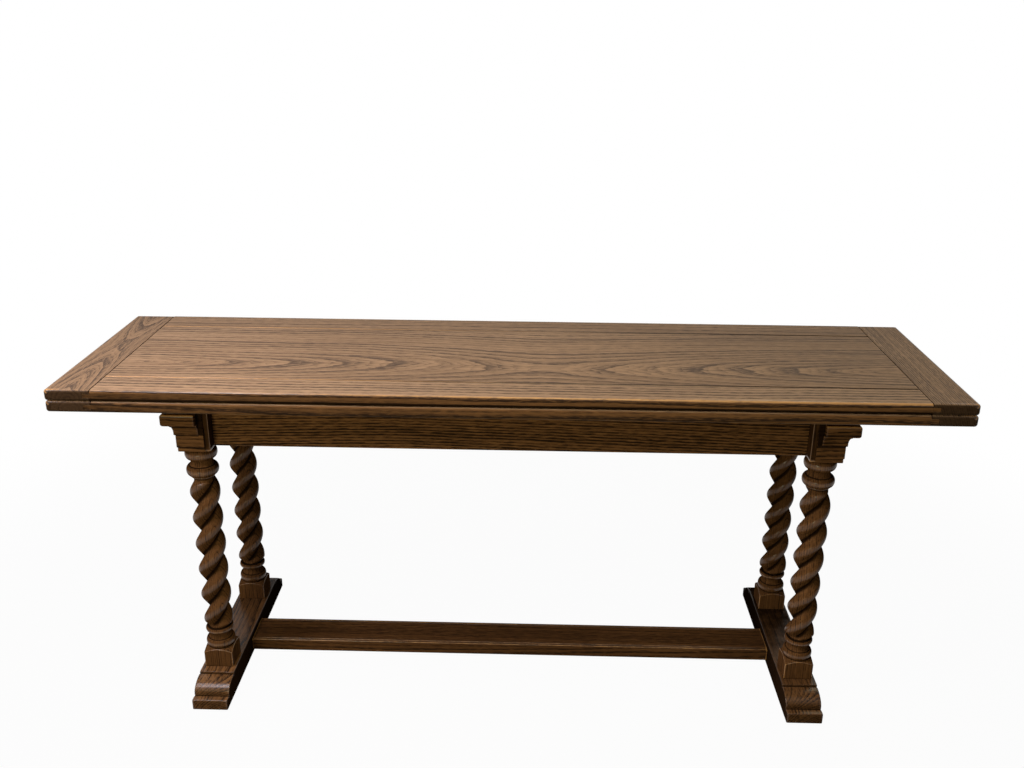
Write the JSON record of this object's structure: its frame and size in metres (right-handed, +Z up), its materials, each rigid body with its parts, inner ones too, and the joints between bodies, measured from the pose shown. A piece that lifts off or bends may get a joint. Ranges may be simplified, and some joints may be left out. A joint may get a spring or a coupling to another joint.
{
  "type": "fold-over dining table",
  "caption": "Oak dining table whose top slides forward and folds open to twice its depth, on barley-twist trestle legs with sledge feet and a low stretcher.",
  "frame": {"origin": "on the floor under the middle of the closed table", "axes": "+X along the table to the right of someone facing its front, +Y from front to back, +Z up"},
  "size_m": [1.84, 0.517, 0.757],
  "materials": {
    "top_oak": "satin, stained oak with open grain",
    "frame_oak": "satin, dark stained oak",
    "plain_oak": "plain, unpolished oak",
    "hinge_brass": "dull, aged",
    "screw_brass": "dull, aged"
  },
  "bodies": {
    "base": {"front_apron": "frame_oak", "front_left_cornice_return": "frame_oak", "front_left_leg": "frame_oak", "front_right_cornice_return": "frame_oak", "front_right_leg": "frame_oak", "left_cornice": "frame_oak", "left_end_rail": "frame_oak", "left_foot": "frame_oak", "left_stop_peg": "plain_oak", "rear_apron": "frame_oak", "rear_left_cornice_return": "frame_oak", "rear_left_leg": "frame_oak", "rear_right_cornice_return": "frame_oak", "rear_right_leg": "frame_oak", "right_cornice": "frame_oak", "right_end_rail": "frame_oak", "right_foot": "frame_oak", "right_stop_peg": "plain_oak", "stretcher": "frame_oak"},
    "lower_leaf": {"left_hinge_lower_left_screw": "screw_brass", "left_hinge_lower_plate": "hinge_brass", "left_hinge_lower_right_screw": "screw_brass", "left_hinge_pin": "hinge_brass", "left_runner": "plain_oak", "left_runner_front_screw": "screw_brass", "left_runner_rear_screw": "screw_brass", "lower_leaf_front_strip": "top_oak", "lower_leaf_left_clamp": "top_oak", "lower_leaf_panel": "top_oak", "lower_leaf_rear_strip": "top_oak", "lower_leaf_right_clamp": "top_oak", "middle_hinge_lower_left_screw": "screw_brass", "middle_hinge_lower_plate": "hinge_brass", "middle_hinge_lower_right_screw": "screw_brass", "middle_hinge_pin": "hinge_brass", "right_hinge_lower_left_screw": "screw_brass", "right_hinge_lower_plate": "hinge_brass", "right_hinge_lower_right_screw": "screw_brass", "right_hinge_pin": "hinge_brass", "right_runner": "plain_oak", "right_runner_front_screw": "screw_brass", "right_runner_rear_screw": "screw_brass"},
    "upper_leaf": {"left_hinge_upper_left_screw": "screw_brass", "left_hinge_upper_plate": "hinge_brass", "left_hinge_upper_right_screw": "screw_brass", "middle_hinge_upper_left_screw": "screw_brass", "middle_hinge_upper_plate": "hinge_brass", "middle_hinge_upper_right_screw": "screw_brass", "right_hinge_upper_left_screw": "screw_brass", "right_hinge_upper_plate": "hinge_brass", "right_hinge_upper_right_screw": "screw_brass", "upper_leaf_front_strip": "top_oak", "upper_leaf_left_clamp": "top_oak", "upper_leaf_panel": "top_oak", "upper_leaf_rear_strip": "top_oak", "upper_leaf_right_clamp": "top_oak"}
  },
  "joints": [
    {"name": "top_slide", "type": "slide", "parent": "base", "child": "lower_leaf", "axis": [0, -1, 0], "range_m": [0, 0.255]},
    {"name": "leaf_fold", "type": "hinge", "parent": "lower_leaf", "child": "upper_leaf", "pos_m": [0, 0.2553, 0.73325], "axis": [-1, 0, 0], "range_deg": [0, 180]}
  ]
}
